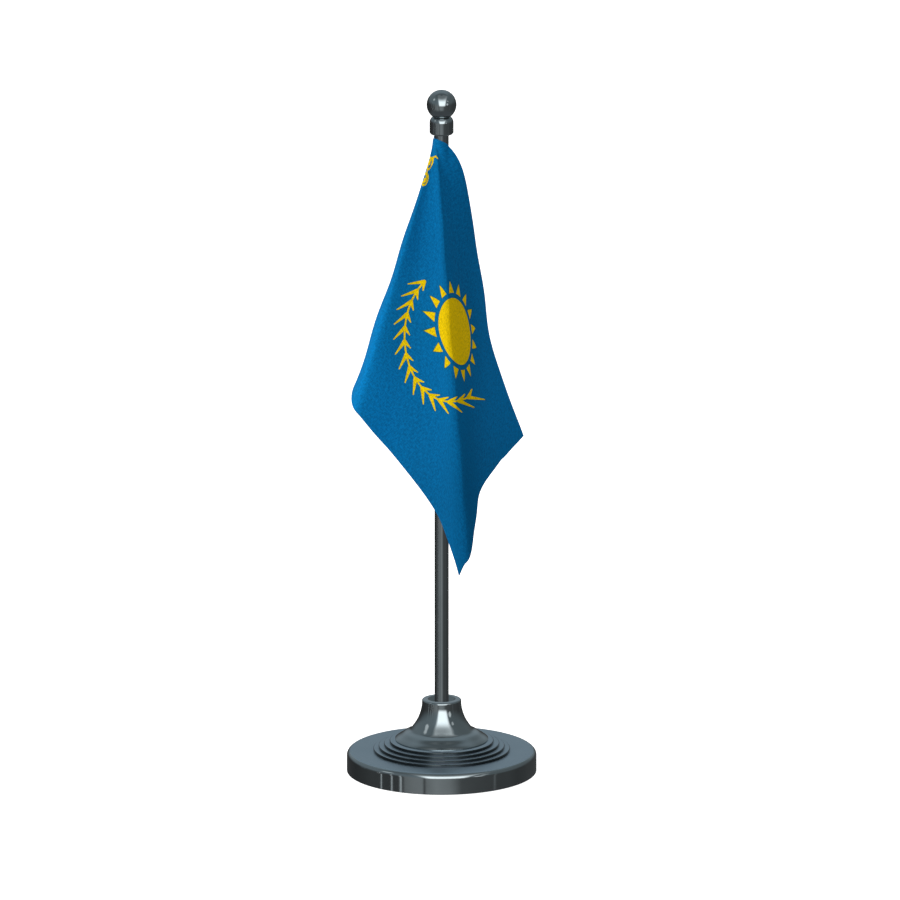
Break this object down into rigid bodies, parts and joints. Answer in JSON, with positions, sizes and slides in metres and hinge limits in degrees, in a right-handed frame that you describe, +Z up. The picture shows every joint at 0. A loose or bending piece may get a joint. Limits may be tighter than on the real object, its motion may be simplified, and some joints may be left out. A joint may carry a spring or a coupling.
{
  "type": "desk flag stand",
  "caption": "Small table flagpole with a weighted round foot, flared neck, ball finial and a cloth flag hanging down the pole.",
  "frame": {"origin": "centre of the foot pad's underside, on the pole's axis", "axes": "+Z up along the pole; -Y towards the side the flag's printed face shows; the lower fold hangs to -X"},
  "size_m": [0.1068, 0.1121, 0.3927],
  "materials": {
    "dark_chrome": "dark nickel plate, polished",
    "dark_chrome_satin": "dark nickel plate, polished rim and satin top",
    "ballast_iron": "rough cast",
    "closing_plate": "pressed sheet",
    "foam_pad": "matt foam",
    "black_rubber": "smooth",
    "zinc_steel": "zinc plated",
    "black_nylon": "moulded",
    "blue_cloth": "plain-woven polyester, printed",
    "ribbon": "woven ribbon"
  },
  "bodies": {
    "base": {"base_shell": "dark_chrome_satin", "ballast_disc": "ballast_iron", "bottom_plate": "closing_plate", "base_pad": "foam_pad", "neck_flare": "dark_chrome", "grip_ring": "black_rubber", "centre_bolt": "zinc_steel", "spring_washer": "zinc_steel", "flat_washer": "zinc_steel", "locating_pin_front": "zinc_steel", "locating_pin_rear": "zinc_steel"},
    "bush": {"socket_bush": "black_nylon"},
    "pole": {"pole_tube": "dark_chrome", "foot_plug": "black_nylon", "top_insert": "zinc_steel"},
    "collar": {"collar": "dark_chrome", "clamp_washer": "black_nylon"},
    "ball": {"ball_finial": "dark_chrome", "ball_stud": "zinc_steel"},
    "flag": {"flag_cloth": "blue_cloth", "hoist_sleeve": "blue_cloth", "hanging_tab": "ribbon"}
  },
  "joints": [
    {"name": "pole_turn", "type": "hinge", "parent": "base", "child": "bush", "pos_m": [0, 0, 0.03], "axis": [0, 0, 1], "continuous": true},
    {"name": "pole_lift", "type": "slide", "parent": "bush", "child": "pole", "axis": [0, 0, 1], "range_m": [0, 0.045]},
    {"name": "collar_lift", "type": "slide", "parent": "pole", "child": "collar", "axis": [0, 0, 1], "range_m": [0, 0.0084]},
    {"name": "ball_unscrew", "type": "hinge", "parent": "collar", "child": "ball", "pos_m": [0, 0, 0.3844], "axis": [0, 0, 1], "range_deg": [0, 4320]},
    {"name": "flag_swing", "type": "hinge", "parent": "pole", "child": "flag", "pos_m": [0, 0, 0.3], "axis": [0, 0, 1], "continuous": true}
  ]
}
